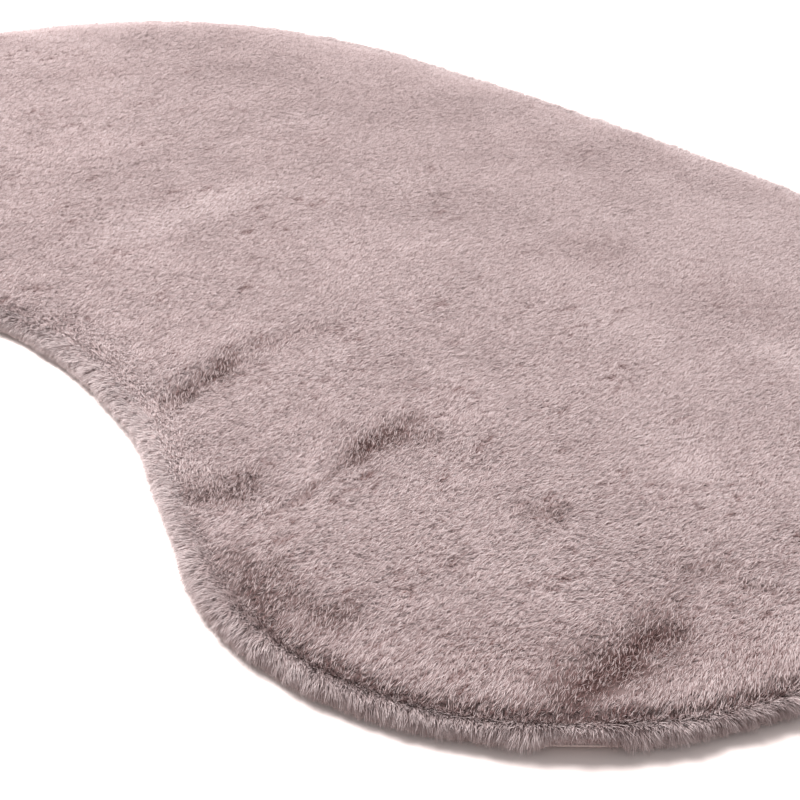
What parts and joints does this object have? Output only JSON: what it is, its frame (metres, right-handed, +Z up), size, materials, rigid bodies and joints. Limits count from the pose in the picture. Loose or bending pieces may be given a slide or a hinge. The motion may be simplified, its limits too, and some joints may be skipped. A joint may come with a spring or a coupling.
{
  "type": "organic shaped shag rug",
  "caption": "Kidney-shaped shag rug with a dense soft faux fur pile over a thin flat cloth backing.",
  "frame": {"origin": "middle of the underside, on the floor", "axes": "+X along the rug's long axis, +Z up through the pile, with the hollow side of the kidney facing -Y"},
  "size_m": [1.5972, 0.9188, 0.0255],
  "materials": {
    "fur": "dusty mauve faux fur",
    "backing": "plain woven cloth"
  },
  "bodies": {
    "root": {"fur_pile": "fur", "backing": "backing"}
  },
  "joints": []
}
